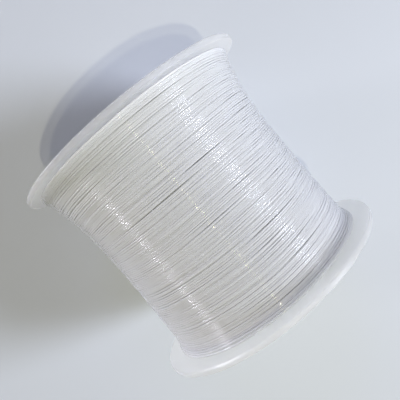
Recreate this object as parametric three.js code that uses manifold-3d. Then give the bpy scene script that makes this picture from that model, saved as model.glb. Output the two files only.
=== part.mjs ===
// Fishing line spool, lying on its side on its two round flanges.
// Millimetres, +Z up. The spool's axis runs along X and the origin is on the surface
// that the spool rests on, straight below the middle of the axis.
//
// Each piece is first made upright, with the spool's axis along the local Y axis. In
// that upright frame an angle is counted round the axis from the local Z axis, which is
// also the way up once the spool is laid on its side.

import * as THREE from 'three';
import { mergeVertices } from 'three/addons/utils/BufferGeometryUtils.js';
import Module from 'manifold-3d';

const wasm = await Module();
wasm.setup();

// Flanges
const FLANGE_RADIUS = 30;
const FLANGE_SPACING = 47.6;
const FLANGE_WALL = 0.9;
const RIM_THICKNESS = 1.4;
const RIM_WIDTH = 2;
const RIM_ROUNDING = 0.35;
const RIM_SHOULDER = 0.4;

// Hub: a drum and a spindle tube joined by ribs
const DRUM_RADIUS = 14;
const DRUM_WALL = 1.4;
const SPINDLE_BORE_RADIUS = 5;
const SPINDLE_TUBE_WALL = 1.2;
const RIB_COUNT = 4;
const RIB_THICKNESS = 1.2;
const RIB_SETBACK = 5;
const RIB_ROOT = 0.4;

// Rings that register the flanges inside the drum's ends
const REGISTER_LENGTH = 4;
const REGISTER_WALL = 1;

// Line and winding: the winding is waisted, and stands highest against the left flange
const LINE_DIAMETER = 0.4;
const WAIST_RADIUS = 24.5;
const END_RISE = 0.6;
const LEFT_END_EXTRA = 2.3;
const WINDING_STEPS = 12;

// Inner end of the line: a knot inside the drum, under a hole in its wall
const ANCHOR_POSITION = 17;
const ANCHOR_ANGLE = THREE.MathUtils.degToRad(30);
const ANCHOR_HOLE_RADIUS = 0.5;
const KNOT_RADIUS = 0.7;

// Outer end of the line: a slit in the left flange's rim
const KEEPER_ANGLE = THREE.MathUtils.degToRad(220);
const KEEPER_SLIT_WIDTH = 1.2;
const KEEPER_SLIT_DEPTH = 3.6;
const KEEPER_LINE_RADIUS = 27.6;
const TAIL_STEPS = 36;

// Clearances and facets
const FIT_GAP = 0.3;
const CLOSE_GAP = 0.1;
const ROUND_FACETS = 48;
const LINE_FACETS = 8;
const MERGE_DISTANCE = 1e-4;

// Sizes worked out from the ones above
const INNER_FACE = FLANGE_SPACING / 2;
const WALL_FACE = INNER_FACE + FLANGE_WALL;
const END_FACE = INNER_FACE + RIM_THICKNESS;
const DRUM_INNER_RADIUS = DRUM_RADIUS - DRUM_WALL;
const SPINDLE_TUBE_RADIUS = SPINDLE_BORE_RADIUS + SPINDLE_TUBE_WALL;
const REGISTER_RADIUS = DRUM_INNER_RADIUS - FIT_GAP;
const FLANGE_HOLE_RADIUS = REGISTER_RADIUS - REGISTER_WALL;
const HALF_FACET = Math.PI / ROUND_FACETS;
const REST_HEIGHT = FLANGE_RADIUS * Math.cos(HALF_FACET);

const CLEAR_PLASTIC = { color: 0xdde1e6, roughness: 0.38, metalness: 0 };
const CLEAR_NYLON = { color: 0xe9edf0, roughness: 0.25, metalness: 0 };

// A geometry with shared vertices and positions only.
function closed(geometry) {
  geometry.deleteAttribute('normal');
  geometry.deleteAttribute('uv');
  return mergeVertices(geometry, MERGE_DISTANCE);
}

function toSolid(geometry) {
  const shape = closed(geometry);
  const vertProperties = new Float32Array(shape.attributes.position.array);
  const triVerts = new Uint32Array(shape.index.array);
  return new wasm.Manifold(new wasm.Mesh({ numProp: 3, vertProperties, triVerts }));
}

function toGeometry(solid) {
  const mesh = solid.getMesh();
  const geometry = new THREE.BufferGeometry();
  geometry.setAttribute('position', new THREE.BufferAttribute(mesh.vertProperties, 3));
  geometry.setIndex(new THREE.BufferAttribute(mesh.triVerts, 1));
  geometry.computeVertexNormals();
  return geometry;
}

// A ring of the given outline, [radius, height] points in order round its section. It
// is turned by half a facet, so that a flat facet faces down when the spool lies.
function ring(outline) {
  const points = outline.map(([radius, height]) => new THREE.Vector2(radius, height));
  points.push(points[0].clone());
  return new THREE.LatheGeometry(points, ROUND_FACETS, HALF_FACET, 2 * Math.PI);
}

function tube(innerRadius, outerRadius, halfLength) {
  return ring([
    [innerRadius, -halfLength],
    [outerRadius, -halfLength],
    [outerRadius, halfLength],
    [innerRadius, halfLength],
  ]);
}

// The point at an angle, a radius and a height along the axis.
function around(angle, radius, height) {
  return new THREE.Vector3(radius * Math.sin(angle), height, radius * Math.cos(angle));
}

// The flange at the end where the axis points: its inner face is flat, its rim stands
// proud of its outer face, and its ring reaches into the drum.
function flangeOutline() {
  const rimInner = FLANGE_RADIUS - RIM_WIDTH;
  return [
    [FLANGE_HOLE_RADIUS, INNER_FACE - REGISTER_LENGTH],
    [REGISTER_RADIUS, INNER_FACE - REGISTER_LENGTH],
    [REGISTER_RADIUS, INNER_FACE],
    [FLANGE_RADIUS - RIM_ROUNDING, INNER_FACE],
    [FLANGE_RADIUS, INNER_FACE + RIM_ROUNDING],
    [FLANGE_RADIUS, END_FACE - RIM_ROUNDING],
    [FLANGE_RADIUS - RIM_ROUNDING, END_FACE],
    [rimInner + RIM_SHOULDER, END_FACE],
    [rimInner, WALL_FACE],
    [FLANGE_HOLE_RADIUS, WALL_FACE],
  ];
}

function rightFlange() {
  return toGeometry(toSolid(ring(flangeOutline())));
}

// The left flange is the same moulding turned end for end, with a slit in its rim.
function leftFlange() {
  const mirrored = flangeOutline().map(([radius, height]) => [radius, -height]);
  const slitLength = KEEPER_SLIT_DEPTH + RIM_WIDTH;
  const slit = new THREE.BoxGeometry(KEEPER_SLIT_WIDTH, 4 * RIM_THICKNESS, slitLength);
  slit.translate(0, -END_FACE, FLANGE_RADIUS - KEEPER_SLIT_DEPTH + slitLength / 2);
  slit.rotateY(KEEPER_ANGLE);
  return toGeometry(toSolid(ring(mirrored.reverse())).subtract(toSolid(slit)));
}

function rib(index) {
  const inner = SPINDLE_TUBE_RADIUS - RIB_ROOT;
  const outer = DRUM_INNER_RADIUS + RIB_ROOT;
  const length = FLANGE_SPACING - 2 * RIB_SETBACK;
  const shape = new THREE.BoxGeometry(RIB_THICKNESS, length, outer - inner);
  shape.translate(0, 0, (inner + outer) / 2);
  shape.rotateY((index + 0.5) * 2 * Math.PI / RIB_COUNT);
  return toSolid(shape);
}

// A short round bar along the radius at the anchor, from one radius to another.
function anchorBar(barRadius, fromRadius, toRadius) {
  const length = toRadius - fromRadius;
  const shape = new THREE.CylinderGeometry(barRadius, barRadius, length, LINE_FACETS);
  shape.rotateX(Math.PI / 2);
  shape.translate(0, ANCHOR_POSITION, (fromRadius + toRadius) / 2);
  shape.rotateY(ANCHOR_ANGLE);
  return toSolid(shape);
}

function hubCore() {
  let hub = toSolid(tube(DRUM_INNER_RADIUS, DRUM_RADIUS, INNER_FACE - FIT_GAP));
  hub = hub.add(toSolid(tube(SPINDLE_BORE_RADIUS, SPINDLE_TUBE_RADIUS, END_FACE)));
  for (let index = 0; index < RIB_COUNT; index += 1) {
    hub = hub.add(rib(index));
  }
  const hole = anchorBar(ANCHOR_HOLE_RADIUS, SPINDLE_TUBE_RADIUS + 1, DRUM_RADIUS + 1);
  return toGeometry(hub.subtract(hole));
}

// The winding's outer radius at a position along the axis, -1 at the left flange.
function windingRadius(position) {
  const leftLean = LEFT_END_EXTRA * Math.max(0, -position) ** 3;
  return WAIST_RADIUS + END_RISE * position ** 2 + leftLean;
}

function windingOutline() {
  const innerRadius = DRUM_RADIUS + FIT_GAP;
  const halfLength = INNER_FACE - FIT_GAP;
  const outline = [[innerRadius, halfLength], [innerRadius, -halfLength]];
  for (let step = 0; step <= WINDING_STEPS; step += 1) {
    const position = 2 * step / WINDING_STEPS - 1;
    outline.push([windingRadius(position), position * halfLength]);
  }
  return outline;
}

// The line's inner end drops through the drum's wall and ends in a knot.
function innerEnd() {
  const knotCentre = DRUM_INNER_RADIUS - FIT_GAP - KNOT_RADIUS;
  const knot = new THREE.SphereGeometry(KNOT_RADIUS, LINE_FACETS, LINE_FACETS / 2);
  knot.translate(0, ANCHOR_POSITION, knotCentre);
  knot.rotateY(ANCHOR_ANGLE);
  const drop = anchorBar(LINE_DIAMETER / 2, knotCentre, DRUM_RADIUS + 1);
  return drop.add(toSolid(knot));
}

// The line's outer end leaves the last turn, passes out through the slit in the rim and
// lies along the outside of the flange, inside the height of its rim.
function outerEnd() {
  const radius = LINE_DIAMETER / 2;
  const inside = -(INNER_FACE - CLOSE_GAP - 2 * radius);
  const outside = -(WALL_FACE + CLOSE_GAP + radius);
  const route = new THREE.CatmullRomCurve3([
    around(KEEPER_ANGLE - 0.42, KEEPER_LINE_RADIUS - 1.3, inside),
    around(KEEPER_ANGLE - 0.28, KEEPER_LINE_RADIUS - 0.7, inside),
    around(KEEPER_ANGLE - 0.12, KEEPER_LINE_RADIUS - 0.1, inside),
    around(KEEPER_ANGLE - 0.02, KEEPER_LINE_RADIUS, inside - 0.15),
    around(KEEPER_ANGLE, KEEPER_LINE_RADIUS, (inside + outside) / 2),
    around(KEEPER_ANGLE + 0.02, KEEPER_LINE_RADIUS, outside + 0.1),
    around(KEEPER_ANGLE + 0.12, KEEPER_LINE_RADIUS - 0.1, outside),
    around(KEEPER_ANGLE + 0.32, KEEPER_LINE_RADIUS - 0.7, outside),
  ]);
  const section = new THREE.Shape().absarc(0, 0, radius, 0, 2 * Math.PI);
  const settings = { steps: TAIL_STEPS, curveSegments: LINE_FACETS, extrudePath: route };
  return toSolid(new THREE.ExtrudeGeometry(section, settings));
}

function fishingLine() {
  const winding = toSolid(ring(windingOutline()));
  return toGeometry(winding.add(innerEnd()).add(outerEnd()));
}

function piece(name, geometry, finish) {
  const mesh = new THREE.Mesh(geometry, new THREE.MeshStandardMaterial(finish));
  mesh.name = name;
  return mesh;
}

// Lays the spool on its side, with its left end towards -X.
const spool = new THREE.Group();
spool.rotation.z = -Math.PI / 2;
spool.position.z = REST_HEIGHT;
spool.add(piece('left_flange', leftFlange(), CLEAR_PLASTIC));
spool.add(piece('right_flange', rightFlange(), CLEAR_PLASTIC));
spool.add(piece('hub_core', hubCore(), CLEAR_PLASTIC));
spool.add(piece('fishing_line', fishingLine(), CLEAR_NYLON));

const part = new THREE.Group();
part.add(spool);

export default part;
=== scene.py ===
import math

import bpy
import numpy as np
from mathutils import Euler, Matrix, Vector


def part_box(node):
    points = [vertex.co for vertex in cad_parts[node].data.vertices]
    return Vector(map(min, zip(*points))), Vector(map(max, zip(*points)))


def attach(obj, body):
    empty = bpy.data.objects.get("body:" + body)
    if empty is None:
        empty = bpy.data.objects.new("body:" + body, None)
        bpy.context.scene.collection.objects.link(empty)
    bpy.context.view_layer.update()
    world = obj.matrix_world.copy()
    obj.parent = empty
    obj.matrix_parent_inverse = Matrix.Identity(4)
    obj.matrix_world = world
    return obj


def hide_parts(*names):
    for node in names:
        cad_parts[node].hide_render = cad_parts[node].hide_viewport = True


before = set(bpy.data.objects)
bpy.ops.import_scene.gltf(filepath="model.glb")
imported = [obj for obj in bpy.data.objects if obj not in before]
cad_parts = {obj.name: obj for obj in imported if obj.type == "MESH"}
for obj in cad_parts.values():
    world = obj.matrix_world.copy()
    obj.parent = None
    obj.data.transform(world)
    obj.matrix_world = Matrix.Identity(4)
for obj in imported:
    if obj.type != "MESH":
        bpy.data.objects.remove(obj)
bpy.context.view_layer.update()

MM = 0.001

# ---------------------------------------------------------------- sizes, in metres
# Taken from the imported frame: the spool's axis runs along X.
RIGHT_LOW, RIGHT_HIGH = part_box("right_flange")
AXIS_HEIGHT = (RIGHT_LOW.z + RIGHT_HIGH.z) / 2
FLANGE_RADIUS = (RIGHT_HIGH.z - RIGHT_LOW.z) / 2
END_FACE = RIGHT_HIGH.x

# Mouldings
RIM_THICKNESS = 1.4 * MM
FLANGE_WALL = 0.9 * MM
RIM_WIDTH = 2.0 * MM
RIM_ROUNDING = 0.35 * MM
RIM_SHOULDER = 0.4 * MM
REGISTER_LENGTH = 4.0 * MM
REGISTER_WALL = 1.0 * MM
DRUM_RADIUS = 14.0 * MM
DRUM_WALL = 1.4 * MM
BORE_RADIUS = 5.0 * MM
SPINDLE_TUBE_WALL = 1.2 * MM
RIB_COUNT = 4
RIB_START = 0.5
RIB_THICKNESS = 1.2 * MM
RIB_SETBACK = 5.0 * MM
EDGE_ROUNDING = 0.2 * MM
CORNER_ROUNDING = 0.1 * MM
RIB_ROOT = 0.4 * MM
EJECTOR_MARKS = 3
EJECTOR_START = 0.25
EJECTOR_RADIUS = 1.6 * MM
EJECTOR_PLACE = 20.0 * MM
EJECTOR_DEPTH = 0.12 * MM
FIT_GAP = 0.3 * MM
INNER_FACE = END_FACE - RIM_THICKNESS
WALL_FACE = INNER_FACE + FLANGE_WALL
DRUM_INNER_RADIUS = DRUM_RADIUS - DRUM_WALL
TUBE_RADIUS = BORE_RADIUS + SPINDLE_TUBE_WALL
REGISTER_RADIUS = DRUM_INNER_RADIUS - FIT_GAP
FLANGE_HOLE_RADIUS = REGISTER_RADIUS - REGISTER_WALL

# Outside of the winding, which fans out a little at its right end
WAIST_RADIUS = 24.5 * MM
END_RISE = 0.6 * MM
LEFT_END_EXTRA = 2.3 * MM
FAN_START = 0.86
FAN_RISE = 0.9 * MM
WINDING_HALF = INNER_FACE - FIT_GAP

# Line: close layers from the drum outwards, then a few open ones over them
LINE_RADIUS = 0.2 * MM
CLOSE_LAYERS = 28
CLOSE_TURNS = 114
OPEN_TURNS = (114, 107, 100)
FINE_LAYERS = 3
ROUGH_POINTS = 24
ROUGH_SIDES = 4
FINE_POINTS = 60
FINE_SIDES = 8
MOST_FACES = 95000
LINE_SEED = 7

# Wander of the turns. It sets in towards the outside, and the open turns wander more.
WANDER_ONSET = 6
LOOSENING_TURNS = 4
SLOW_WANDER = 0.30 * MM
SLOW_RATES = [0.98, 1.03, 2.02, 2.98, 4.02, 5.01]
QUICK_WANDER_CLOSE = 0.01
QUICK_WANDER_OPEN = 0.12
QUICK_RATES = [0.41, 1.31, 2.73, 3.41, 4.87]
LUMP_HEIGHT = 0.06 * MM
LUMP_RATES = [(1.9, 2), (2.6, -3), (3.3, 1), (1.2, 5), (4.1, -4)]

# Open turns over the close ones: the room left for them, how far a layer stands up, and
# the most such steps. The last two layers share one height.
OPEN_ROOM = 3 * LINE_RADIUS
OPEN_STEP = 1.6 * LINE_RADIUS
MOST_OPEN_STEPS = 1.5

# Ends of the line
ANCHOR_X = 17.0 * MM
ANCHOR_ANGLE = math.radians(30)
ANCHOR_HOLE_RADIUS = 0.5 * MM
ANCHOR_BEND = 0.8 * MM
LEAD_STEP = 0.3 * MM
LEAD_POINTS = 5
BEND_STEPS = 6
INNER_END_TURNS = 0.25
INNER_END_POINTS = 8
KNOT_RADIUS = 0.7 * MM
KNOT_PLACE = DRUM_INNER_RADIUS - FIT_GAP - KNOT_RADIUS
KNOT_POINTS = 91
KNOT_CURVE_REACH = 3.4
KEEPER_ANGLE = math.radians(220)
KEEPER_SLIT_WIDTH = 1.2 * MM
KEEPER_SLIT_DEPTH = 3.6 * MM
KEEPER_LINE_RADIUS = 27.6 * MM
KEEPER_LEAD = 0.42
CLOSE_GAP = 0.1 * MM

# Outer end of the line: the angle from the slit and the depth under the slit's place
LAST_TURNS = (0.02, 0.0)
APPROACH = ((0.28, 0.2 * MM), (0.12, 0.05 * MM))
TAIL = ((0.12, 0.1 * MM), (0.32, 0.7 * MM))
SLIT_TURN = 0.02
SLIT_EASE_IN = 0.15 * MM
SLIT_EASE_OUT = 0.1 * MM
ROUTE_STEPS = 8

ROUND_SEGMENTS = 192
PIN_SEGMENTS = 40
CORNER_STEPS = 4
SMOOTH_ANGLE = math.radians(35)
EDGE_SEGMENTS = 3
OUTWARD_LEAN = 0.02
FLOOR_HALF = 3.0


def around(angle, radius, x):
    """The point at an angle round the axis from straight up, a radius and a place along it."""
    return Vector((x, -radius * math.sin(angle), AXIS_HEIGHT + radius * math.cos(angle)))


# ---------------------------------------------------------------- camera
# The place is in flange radii from the middle of the axis, and the angles are in degrees.
SENSOR_WIDTH = 36
CAMERA_LENS = 38.8
CAMERA_PLACE = (-0.272, 0.110, 3.480)
CAMERA_TILT = (-4.045, -1.505)
CAMERA_TURN = 49.87


def make_camera():
    data = bpy.data.cameras.new("camera")
    data.sensor_width = SENSOR_WIDTH
    data.lens = CAMERA_LENS
    data.clip_start = MM
    camera = bpy.data.objects.new("camera", data)
    bpy.context.scene.collection.objects.link(camera)
    camera.location = Vector(CAMERA_PLACE) * FLANGE_RADIUS + Vector((0, 0, AXIS_HEIGHT))
    camera.rotation_euler = Euler([math.radians(a) for a in (*CAMERA_TILT, CAMERA_TURN)])
    bpy.context.scene.camera = camera


# ---------------------------------------------------------------- mesh helpers
def new_object(name, vertices, faces):
    """A smooth-shaded mesh object in the scene."""
    mesh = bpy.data.meshes.new(name)
    mesh.from_pydata([tuple(v) for v in vertices], [], faces)
    mesh.validate()
    mesh.update()
    mesh.polygons.foreach_set("use_smooth", [True] * len(mesh.polygons))
    obj = bpy.data.objects.new(name, mesh)
    bpy.context.scene.collection.objects.link(obj)
    return obj


def select_only(obj):
    bpy.ops.object.select_all(action="DESELECT")
    bpy.context.view_layer.objects.active = obj
    obj.select_set(True)


def smooth_by_angle(obj):
    """Smooth shading, with sharp edges kept where faces meet at more than the angle."""
    select_only(obj)
    bpy.ops.object.shade_smooth_by_angle(angle=SMOOTH_ANGLE)


def rounded(outline):
    """An outline of (x, radius, rounding) corners with each corner turned into an arc."""
    points = []
    count = len(outline)
    for i, (x, r, rounding) in enumerate(outline):
        corner = Vector((x, r))
        before = Vector(outline[i - 1][:2]) - corner
        after = Vector(outline[(i + 1) % count][:2]) - corner
        half = before.angle(after) / 2
        reach = rounding / math.tan(half)
        start = corner + before.normalized() * reach
        end = corner + after.normalized() * reach
        centre = corner + (before.normalized() + after.normalized()).normalized() * (
            rounding / math.sin(half)
        )
        first, last = start - centre, end - centre
        sweep = first.angle_signed(last)
        for k in range(CORNER_STEPS + 1):
            turn = -sweep * k / CORNER_STEPS
            c, s = math.cos(turn), math.sin(turn)
            points.append(centre + Vector((c * first.x - s * first.y, s * first.x + c * first.y)))
    return points


def lathe(name, outline):
    """A ring with the given closed outline of (x, radius, rounding) corners."""
    points = rounded(outline)
    n = len(points)
    vertices = []
    faces = []
    for i in range(ROUND_SEGMENTS):
        angle = 2 * math.pi * i / ROUND_SEGMENTS
        vertices.extend(around(angle, p.y, p.x) for p in points)
        j = (i + 1) % ROUND_SEGMENTS
        for k in range(n):
            m = (k + 1) % n
            faces.append((i * n + k, j * n + k, j * n + m, i * n + m))
    obj = new_object(name, vertices, faces)
    smooth_by_angle(obj)
    bpy.ops.object.mode_set(mode="EDIT")
    bpy.ops.mesh.select_all(action="SELECT")
    bpy.ops.mesh.normals_make_consistent(inside=False)
    bpy.ops.object.mode_set(mode="OBJECT")
    return obj


# ---------------------------------------------------------------- mouldings
def boolean(obj, other, operation):
    """Joins another mesh to an object, or cuts it away, and uses the other mesh up."""
    change = obj.modifiers.new("change", "BOOLEAN")
    change.operation = operation
    change.solver = "EXACT"
    change.object = other
    select_only(obj)
    bpy.ops.object.modifier_apply(modifier=change.name)
    bpy.data.objects.remove(other)


def block(size, angle, radius, x):
    """A box of (along X, across, outward) size, its middle at a place round the axis."""
    bpy.ops.mesh.primitive_cube_add(size=1)
    obj = bpy.context.object
    obj.scale = size
    obj.location = around(angle, radius, x)
    obj.rotation_euler = (angle, 0, 0)
    bpy.ops.object.transform_apply()
    soften = obj.modifiers.new("soften", "BEVEL")
    soften.width = EDGE_ROUNDING
    soften.segments = EDGE_SEGMENTS
    bpy.ops.object.modifier_apply(modifier=soften.name)
    return obj


def pin(radius, length, angle, place, x, along_axis):
    """A round bar, along the X axis or along the radius, its middle at a place."""
    bpy.ops.mesh.primitive_cylinder_add(vertices=PIN_SEGMENTS, radius=radius, depth=length)
    obj = bpy.context.object
    obj.location = around(angle, place, x)
    obj.rotation_euler = (0, math.pi / 2, 0) if along_axis else (angle, 0, 0)
    bpy.ops.object.transform_apply()
    return obj


def flange(name, side):
    """side is -1 for the left flange and 1 for the right one."""
    rim_inner = FLANGE_RADIUS - RIM_WIDTH
    corners = [
        (INNER_FACE - REGISTER_LENGTH, FLANGE_HOLE_RADIUS, EDGE_ROUNDING),
        (INNER_FACE - REGISTER_LENGTH, REGISTER_RADIUS, EDGE_ROUNDING),
        (INNER_FACE, REGISTER_RADIUS, CORNER_ROUNDING),
        (INNER_FACE, FLANGE_RADIUS, RIM_ROUNDING),
        (END_FACE, FLANGE_RADIUS, RIM_ROUNDING),
        (END_FACE, rim_inner + RIM_SHOULDER, EDGE_ROUNDING),
        (WALL_FACE, rim_inner, EDGE_ROUNDING),
        (WALL_FACE, FLANGE_HOLE_RADIUS, EDGE_ROUNDING),
    ]
    obj = lathe(name, [(side * x, r, rounding) for x, r, rounding in corners])
    for index in range(EJECTOR_MARKS):
        angle = 2 * math.pi * (index + EJECTOR_START) / EJECTOR_MARKS
        mark = pin(EJECTOR_RADIUS, 2 * EJECTOR_DEPTH, angle, EJECTOR_PLACE, side * WALL_FACE, True)
        boolean(obj, mark, "DIFFERENCE")
    if side < 0:
        reach = KEEPER_SLIT_DEPTH + RIM_WIDTH
        size = (4 * RIM_THICKNESS, KEEPER_SLIT_WIDTH, reach)
        middle = FLANGE_RADIUS - KEEPER_SLIT_DEPTH + reach / 2
        slit = block(size, KEEPER_ANGLE, middle, -END_FACE)
        boolean(obj, slit, "DIFFERENCE")
    smooth_by_angle(obj)
    return obj


def ring_outline(inner, outer, half):
    """The outline of a plain ring between two radii, centred on the axis."""
    corners = [(-half, inner), (-half, outer), (half, outer), (half, inner)]
    return [(x, r, EDGE_ROUNDING) for x, r in corners]


def hub(name):
    """The drum and the spindle tube, joined by ribs, with the hole for the line's end."""
    obj = lathe(name, ring_outline(DRUM_INNER_RADIUS, DRUM_RADIUS, WINDING_HALF))
    boolean(obj, lathe("tube", ring_outline(BORE_RADIUS, TUBE_RADIUS, END_FACE)), "UNION")
    inner = TUBE_RADIUS - RIB_ROOT
    outer = DRUM_INNER_RADIUS + RIB_ROOT
    size = (2 * (INNER_FACE - RIB_SETBACK), RIB_THICKNESS, outer - inner)
    for index in range(RIB_COUNT):
        angle = 2 * math.pi * (index + RIB_START) / RIB_COUNT
        boolean(obj, block(size, angle, (inner + outer) / 2, 0), "UNION")
    hole = pin(ANCHOR_HOLE_RADIUS, 4 * DRUM_WALL, ANCHOR_ANGLE, DRUM_RADIUS, ANCHOR_X, False)
    boolean(obj, hole, "DIFFERENCE")
    smooth_by_angle(obj)
    return obj


# ---------------------------------------------------------------- line
def winding_radius(x):
    """The outside of the winding at a place along the axis: waisted, highest at the left."""
    s = np.clip(x / WINDING_HALF, -1, 1)
    fan = np.clip((s - FAN_START) / (1 - FAN_START), 0, 1)
    return (WAIST_RADIUS + END_RISE * s**2 + LEFT_END_EXTRA * np.maximum(0, -s) ** 3
            + FAN_RISE * fan**2)


def tube_mesh(name, path, radius, sides):
    """A round bar along a path of points that runs round the X axis, with closed ends."""
    tangent = np.gradient(path, axis=0)
    tangent /= np.linalg.norm(tangent, axis=1, keepdims=True)
    outward = path - np.array([0, 0, AXIS_HEIGHT])
    # A slight lean keeps this clear of the tangent where the line runs straight outwards.
    outward[:, 0] = OUTWARD_LEAN * outward[:, 1]
    outward -= (outward * tangent).sum(1, keepdims=True) * tangent
    outward /= np.linalg.norm(outward, axis=1, keepdims=True)
    across = np.cross(tangent, outward)
    angles = np.arange(sides) * 2 * math.pi / sides
    rings = (
        path[:, None, :]
        + radius * np.cos(angles)[None, :, None] * outward[:, None, :]
        + radius * np.sin(angles)[None, :, None] * across[:, None, :]
    )
    count = len(path)
    base = np.arange(count - 1)[:, None] * sides
    here = np.arange(sides)[None, :]
    there = (here + 1) % sides
    quads = np.stack([base + here, base + sides + here, base + sides + there, base + there], -1)
    quads = quads.reshape(-1, 4)
    mesh = bpy.data.meshes.new(name)
    mesh.vertices.add(count * sides)
    mesh.vertices.foreach_set("co", rings.reshape(-1).astype(np.float32))
    caps = [list(range(sides)), [(count - 1) * sides + k for k in range(sides)][::-1]]
    loops = np.concatenate([quads.reshape(-1), np.array(caps).reshape(-1)])
    mesh.loops.add(len(loops))
    mesh.loops.foreach_set("vertex_index", loops.astype(np.int32))
    starts = np.concatenate([np.arange(len(quads)) * 4, len(quads) * 4 + np.arange(2) * sides])
    mesh.polygons.add(len(quads) + 2)
    mesh.polygons.foreach_set("loop_start", starts.astype(np.int32))
    mesh.polygons.foreach_set("use_smooth", np.ones(len(quads) + 2, bool))
    mesh.update(calc_edges=True)
    mesh.validate()
    obj = bpy.data.objects.new(name, mesh)
    bpy.context.scene.collection.objects.link(obj)
    return obj


class Waves:
    """A smooth wander: a few sine waves of one number or of two, each with its own phase."""

    def __init__(self, rng, rates):
        self.rates = np.array(rates, float)
        self.phases = rng.uniform(0, 2 * math.pi, len(self.rates))
        self.sizes = rng.uniform(0.5, 1, len(self.rates)) / len(self.rates) ** 0.5

    def __call__(self, *places):
        total = 0
        for rate, phase, size in zip(self.rates.reshape(len(self.rates), -1), self.phases,
                                     self.sizes):
            total = total + size * np.sin(sum(r * p for r, p in zip(rate, places)) + phase)
        return total


class Line:
    """The route of the whole line, by the number of turns from the drum outwards."""

    def __init__(self, rng):
        first_width = ANCHOR_X + INNER_FACE
        first = round(CLOSE_TURNS * first_width / (2 * INNER_FACE))
        start = self.part_of_turn(ANCHOR_ANGLE)
        last = self.part_of_turn(KEEPER_ANGLE - KEEPER_LEAD)
        opens = list(OPEN_TURNS)
        opens[-1] += (last - start) % 1
        self.turns = np.array([first] + [CLOSE_TURNS] * (CLOSE_LAYERS - 1) + opens)
        self.ends = np.cumsum(self.turns)
        self.total = float(self.ends[-1])
        self.slow = Waves(rng, SLOW_RATES)
        self.quick = Waves(rng, QUICK_RATES)
        self.lumps = Waves(rng, LUMP_RATES)

    @staticmethod
    def part_of_turn(angle):
        return angle / (2 * math.pi)

    def layer_start(self, layer):
        """The number of turns before a layer, which isn't the first one."""
        return float(self.ends[layer - 1])

    def points(self, turns):
        """The places of the line after the given numbers of turns."""
        layer = np.minimum(np.searchsorted(self.ends, turns, "right"), len(self.ends) - 1)
        begun = np.concatenate([[0], self.ends])[layer]
        part = (turns - begun) / self.turns[layer]
        half = INNER_FACE - LINE_RADIUS
        to_left = layer % 2 == 0
        start = np.where(layer == 0, ANCHOR_X, half)
        x = np.where(to_left, start - (start + half) * part, -half + 2 * half * part)
        outness = np.clip(turns / self.ends[CLOSE_LAYERS - 1], 0, 1) ** WANDER_ONSET
        loose = np.clip((turns - self.ends[CLOSE_LAYERS - 1]) / LOOSENING_TURNS, 0, 1)
        round_turns = 2 * math.pi * turns
        x = x + outness * SLOW_WANDER * self.slow(round_turns)
        quick = (QUICK_WANDER_CLOSE + QUICK_WANDER_OPEN * loose) * MM
        x = x + outness * quick * self.quick(round_turns)
        x = np.clip(x, -half, half)
        climb = np.clip((turns - begun - self.turns[layer] + 1), 0, 1)
        height = layer + climb * climb * (3 - 2 * climb)
        inner = DRUM_RADIUS + LINE_RADIUS
        close_top = CLOSE_LAYERS - 1
        outer = winding_radius(x) - OPEN_ROOM
        radius = inner + (outer - inner) * np.minimum(height, close_top) / close_top
        radius = radius + OPEN_STEP * np.clip(height - close_top, 0, MOST_OPEN_STEPS)
        angle = ANCHOR_ANGLE + round_turns
        radius = radius + outness * LUMP_HEIGHT * self.lumps(x / MM, angle)
        return np.stack(
            [x, -radius * np.sin(angle), AXIS_HEIGHT + radius * np.cos(angle)], axis=1
        )


def smooth_path(points, steps):
    """A Catmull-Rom curve through a few points."""
    points = np.array([tuple(p) for p in points])
    ends = np.vstack([2 * points[0] - points[1], points, 2 * points[-1] - points[-2]])
    t = np.linspace(0, 1, steps, endpoint=False)[:, None]
    curve = []
    for a, b, c, d in zip(ends, ends[1:], ends[2:], ends[3:]):
        curve.append(0.5 * (2 * b + (c - a) * t + (2 * a - 5 * b + 4 * c - d) * t**2
                            + (3 * b - a - 3 * c + d) * t**3))
    return np.vstack(curve + [points[-1:]])


def inner_end(line):
    """Out of the knot, through the hole in the drum and round into the first turn."""
    first = DRUM_RADIUS + LINE_RADIUS
    path = [around(ANCHOR_ANGLE, KNOT_PLACE + k * LEAD_STEP, ANCHOR_X)
            for k in range(LEAD_POINTS)]
    for k in range(1, BEND_STEPS):
        bend = math.pi / 2 * k / BEND_STEPS
        radius = first - ANCHOR_BEND * (1 - math.sin(bend))
        aside = ANCHOR_BEND * (1 - math.cos(bend)) / first
        path.append(around(ANCHOR_ANGLE + aside, radius, ANCHOR_X))
    begin = ANCHOR_BEND / first / (2 * math.pi)
    turns = np.linspace(begin, INNER_END_TURNS, INNER_END_POINTS)
    return np.vstack([[tuple(p) for p in path], line.points(turns)])


def knot():
    """A tight overhand knot on the inner end of the line."""
    t = np.linspace(0, 2 * math.pi, KNOT_POINTS)
    size = KNOT_RADIUS / KNOT_CURVE_REACH
    centre = np.array(tuple(around(ANCHOR_ANGLE, KNOT_PLACE, ANCHOR_X)))
    shape = np.stack([np.sin(t) + 2 * np.sin(2 * t), np.cos(t) - 2 * np.cos(2 * t),
                      -np.sin(3 * t)], axis=1)
    return centre + size * shape


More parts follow.
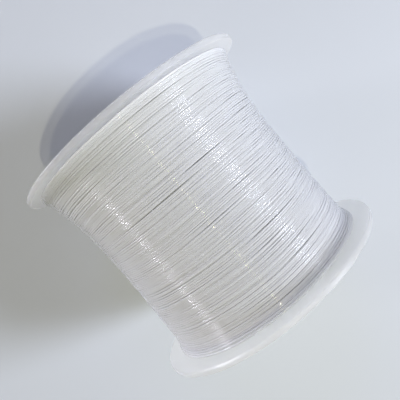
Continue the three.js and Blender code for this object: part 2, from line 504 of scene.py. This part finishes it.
def outer_end(line):
    """From the last turn out through the slit and along the outside of the flange."""
    r = KEEPER_LINE_RADIUS
    inside = -(INNER_FACE - CLOSE_GAP - 2 * LINE_RADIUS)
    outside = -(WALL_FACE + CLOSE_GAP + LINE_RADIUS)
    route = [Vector(p) for p in line.points(line.total - np.array(LAST_TURNS))]
    route += [around(KEEPER_ANGLE - angle, r - depth, inside) for angle, depth in APPROACH]
    route += [
        around(KEEPER_ANGLE - SLIT_TURN, r, inside - SLIT_EASE_IN),
        around(KEEPER_ANGLE, r, (inside + outside) / 2),
        around(KEEPER_ANGLE + SLIT_TURN, r, outside + SLIT_EASE_OUT),
    ]
    route += [around(KEEPER_ANGLE + angle, r - depth, outside) for angle, depth in TAIL]
    return smooth_path(route, ROUTE_STEPS)


def stretches(first, last, points_per_turn, sides):
    """The turns from first to last, split so that no stretch has too many faces."""
    most_turns = MOST_FACES // (points_per_turn * sides)
    count = math.ceil((last - first) / most_turns)
    cuts = np.linspace(first, last, count + 1)
    for a, b in zip(cuts, cuts[1:]):
        yield np.linspace(a, b, round((b - a) * points_per_turn) + 1)


def fishing_line():
    """The whole line, in pieces that follow one another. Returns (piece, is it inside)."""
    line = Line(np.random.default_rng(LINE_SEED))
    fine_from = line.layer_start(CLOSE_LAYERS - FINE_LAYERS)
    pieces = [(tube_mesh("line_inner_end", inner_end(line), LINE_RADIUS, FINE_SIDES), True)]
    pieces.append((tube_mesh("line_knot", knot(), LINE_RADIUS, FINE_SIDES), True))
    rough = stretches(INNER_END_TURNS, fine_from, ROUGH_POINTS, ROUGH_SIDES)
    for index, turns in enumerate(rough):
        name = f"line_inner_turns_{index + 1}"
        pieces.append((tube_mesh(name, line.points(turns), LINE_RADIUS, ROUGH_SIDES), True))
    fine = stretches(fine_from, line.total, FINE_POINTS, FINE_SIDES)
    for index, turns in enumerate(fine):
        name = f"line_outer_turns_{index + 1}"
        pieces.append((tube_mesh(name, line.points(turns), LINE_RADIUS, FINE_SIDES), False))
    pieces.append((tube_mesh("line_outer_end", outer_end(line), LINE_RADIUS, FINE_SIDES), False))
    return pieces


# ---------------------------------------------------------------- materials
class Nodes:
    """A material with a Principled shader, and a short way to add nodes to it."""

    def __init__(self, name):
        self.material = bpy.data.materials.new(name)
        self.material.use_nodes = True
        self.tree = self.material.node_tree
        self.shader = self.tree.nodes["Principled BSDF"]

    def add(self, kind, **values):
        node = self.tree.nodes.new(kind)
        for key, value in values.items():
            if key in node.inputs:
                node.inputs[key].default_value = value
            else:
                setattr(node, key, value)
        return node

    def link(self, source, output, target, socket):
        self.tree.links.new(source.outputs[output], target.inputs[socket])


def set_shader(shader, **values):
    """Sets sockets of the shader by name, with _ for each space."""
    for key, value in values.items():
        shader.inputs[key.replace("_", " ")].default_value = value


def noise_to(m, socket, scale, detail, low, high):
    """Lets a noise vary a value of the shader between low and high."""
    coords = m.add("ShaderNodeTexCoord")
    cloud = m.add("ShaderNodeTexNoise", Scale=scale, Detail=detail)
    ramp = m.add("ShaderNodeMapRange")
    ramp.inputs["To Min"].default_value = low
    ramp.inputs["To Max"].default_value = high
    m.link(coords, "Object", cloud, "Vector")
    m.link(cloud, "Fac", ramp, "Value")
    m.link(ramp, "Result", m.shader, socket)
    return cloud


def tint(m, cloud, dark, light):
    """Lets the same noise shift the base colour a little."""
    mix = m.add("ShaderNodeMix", data_type="RGBA")
    mix.inputs["A"].default_value = dark
    mix.inputs["B"].default_value = light
    m.link(cloud, "Fac", mix, "Factor")
    m.link(mix, "Result", m.shader, "Base Color")


def relief(m, scale, detail, strength, distance):
    """A fine bump from a noise."""
    coords = m.add("ShaderNodeTexCoord")
    grain = m.add("ShaderNodeTexNoise", Scale=scale, Detail=detail)
    bump = m.add("ShaderNodeBump", Strength=strength, Distance=distance)
    m.link(coords, "Object", grain, "Vector")
    m.link(grain, "Fac", bump, "Height")
    m.link(bump, "Normal", m.shader, "Normal")


def clear_plastic():
    m = Nodes("frosted_clear_plastic")
    set_shader(m.shader, IOR=1.49, Transmission_Weight=0.3, Alpha=0.40,
               Subsurface_Weight=1.0, Subsurface_Radius=(1.0, 1.0, 1.0),
               Subsurface_Scale=3 * MM)
    cloud = noise_to(m, "Roughness", scale=90.0, detail=3.0, low=0.28, high=0.48)
    tint(m, cloud, dark=(0.90, 0.895, 0.83, 1), light=(0.95, 0.945, 0.89, 1))
    relief(m, scale=900.0, detail=4.0, strength=0.15, distance=0.02 * MM)
    return m.material


def clear_nylon():
    m = Nodes("clear_nylon_line")
    set_shader(m.shader, IOR=1.53, Alpha=0.37, Coat_Weight=1.0, Coat_Roughness=0.07)
    cloud = noise_to(m, "Roughness", scale=300.0, detail=2.0, low=0.35, high=0.50)
    tint(m, cloud, dark=(0.965, 0.97, 0.965, 1), light=(0.99, 1.0, 1.0, 1))
    return m.material


def nylon_bulk():
    m = Nodes("clear_nylon_inner_turns")
    set_shader(m.shader, IOR=1.4, Subsurface_Weight=1.0, Subsurface_Radius=(1.0, 1.0, 1.0),
               Subsurface_Scale=3 * MM)
    cloud = noise_to(m, "Roughness", scale=200.0, detail=2.0, low=0.4, high=0.6)
    tint(m, cloud, dark=(0.93, 0.94, 0.93, 1), light=(0.98, 0.99, 0.985, 1))
    return m.material


def table_top():
    m = Nodes("pale_table")
    cloud = noise_to(m, "Roughness", scale=12.0, detail=3.0, low=0.5, high=0.65)
    tint(m, cloud, dark=(0.635, 0.67, 0.70, 1), light=(0.655, 0.69, 0.72, 1))
    relief(m, scale=1500.0, detail=3.0, strength=0.1, distance=0.02 * MM)
    return m.material


# ---------------------------------------------------------------- stage
def make_floor():
    half = FLOOR_HALF
    corners = [(-half, -half, 0), (half, -half, 0), (half, half, 0), (-half, half, 0)]
    floor = new_object("floor", corners, [(0, 1, 2, 3)])
    floor.data.materials.append(table_top())


def area_light(name, place, size, power, colour):
    """A round lamp that faces the middle of the spool."""
    data = bpy.data.lights.new(name, "AREA")
    data.shape = "DISK"
    data.size = size
    data.energy = power
    data.color = colour
    light = bpy.data.objects.new(name, data)
    light.location = place
    facing = Vector((0, 0, AXIS_HEIGHT)) - place
    light.rotation_euler = facing.to_track_quat("-Z", "Y").to_euler()
    bpy.context.scene.collection.objects.link(light)


def from_side(azimuth, elevation, distance):
    """The place at a direction and distance from the middle of the spool."""
    azimuth, elevation = math.radians(azimuth), math.radians(elevation)
    flat = distance * math.cos(elevation)
    return Vector((flat * math.cos(azimuth), flat * math.sin(azimuth),
                   AXIS_HEIGHT + distance * math.sin(elevation)))


AMBIENT_COLOUR = (1.0, 0.98, 0.72, 1)
AMBIENT_STRENGTH = 0.163


def make_lights():
    """A soft bluish window, a small warm room lamp, and faint light from the other sides."""
    world = bpy.data.worlds.new("room")
    world.use_nodes = True
    background = world.node_tree.nodes["Background"]
    background.inputs["Color"].default_value = AMBIENT_COLOUR
    background.inputs["Strength"].default_value = AMBIENT_STRENGTH
    bpy.context.scene.world = world
    area_light("window", from_side(58, 32, 0.90), size=0.32, power=8.4,
               colour=(0.80, 0.84, 1.0))
    area_light("room", from_side(-6, 69, 0.80), size=0.016, power=1.7,
               colour=(1.0, 0.93, 0.68))
    area_light("sky", from_side(165, 35, 0.80), size=0.40, power=0.85,
               colour=(0.36, 0.37, 1.0))
    area_light("fill", from_side(-128, 3, 0.60), size=0.10, power=2.5,
               colour=(0.90, 0.88, 1.0))


def set_light_paths():
    """Enough bounces for light to pass through the many turns of clear line."""
    scene = bpy.context.scene
    scene.view_settings.view_transform = "Standard"
    scene.cycles.max_bounces = 24
    scene.cycles.diffuse_bounces = 16
    scene.cycles.transparent_max_bounces = 24


# ---------------------------------------------------------------- assembly
def place(piece, material, slot, node):
    """Gives a finished piece its material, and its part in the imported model."""
    piece.data.materials.clear()
    piece.data.materials.append(material)
    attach(piece, "root")
    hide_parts(node)


def main():
    make_camera()
    make_floor()
    make_lights()
    set_light_paths()
    plastic = clear_plastic()
    place(flange("left_flange_moulding", -1), plastic, "clear_plastic", "left_flange")
    place(flange("right_flange_moulding", 1), plastic, "clear_plastic", "right_flange")
    place(hub("hub_moulding"), plastic, "clear_plastic", "hub_core")
    nylon = clear_nylon()
    bulk = nylon_bulk()
    for piece, inside in fishing_line():
        place(piece, bulk if inside else nylon, "clear_nylon", "fishing_line")


main()
